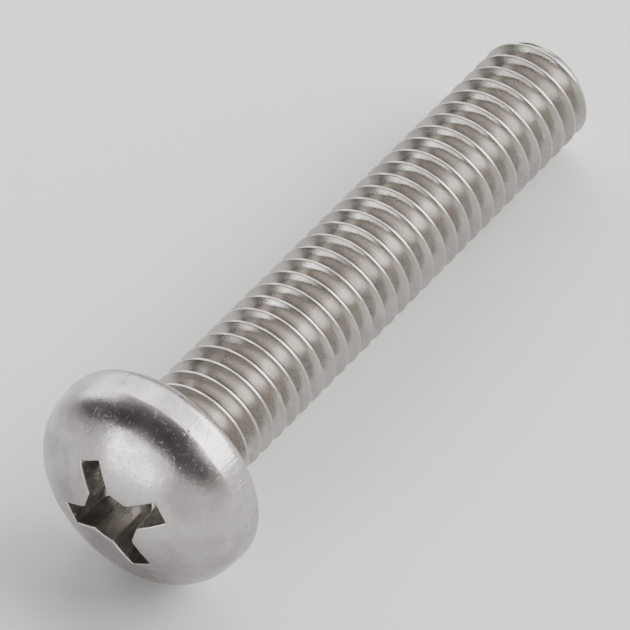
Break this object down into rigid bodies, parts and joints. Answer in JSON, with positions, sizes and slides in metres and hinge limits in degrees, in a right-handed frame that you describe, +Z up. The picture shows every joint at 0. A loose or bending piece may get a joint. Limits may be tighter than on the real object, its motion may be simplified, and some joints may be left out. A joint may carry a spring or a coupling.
{
  "type": "machine screw",
  "caption": "Pan head machine screw with a cross recess and a fully threaded shank, lying on its head's rim and its end.",
  "frame": {"origin": "centre of the bearing face, on the screw's axis", "axes": "+X along the shank towards its end, dipped 4.83 degrees as the screw lies on a level surface; +Z up"},
  "size_m": [0.0249, 0.0076, 0.0076],
  "materials": {
    "stainless_steel": "satin, cold formed and rolled, with fine tumbling scratches"
  },
  "bodies": {
    "root": {"screw": "stainless_steel"}
  },
  "joints": []
}
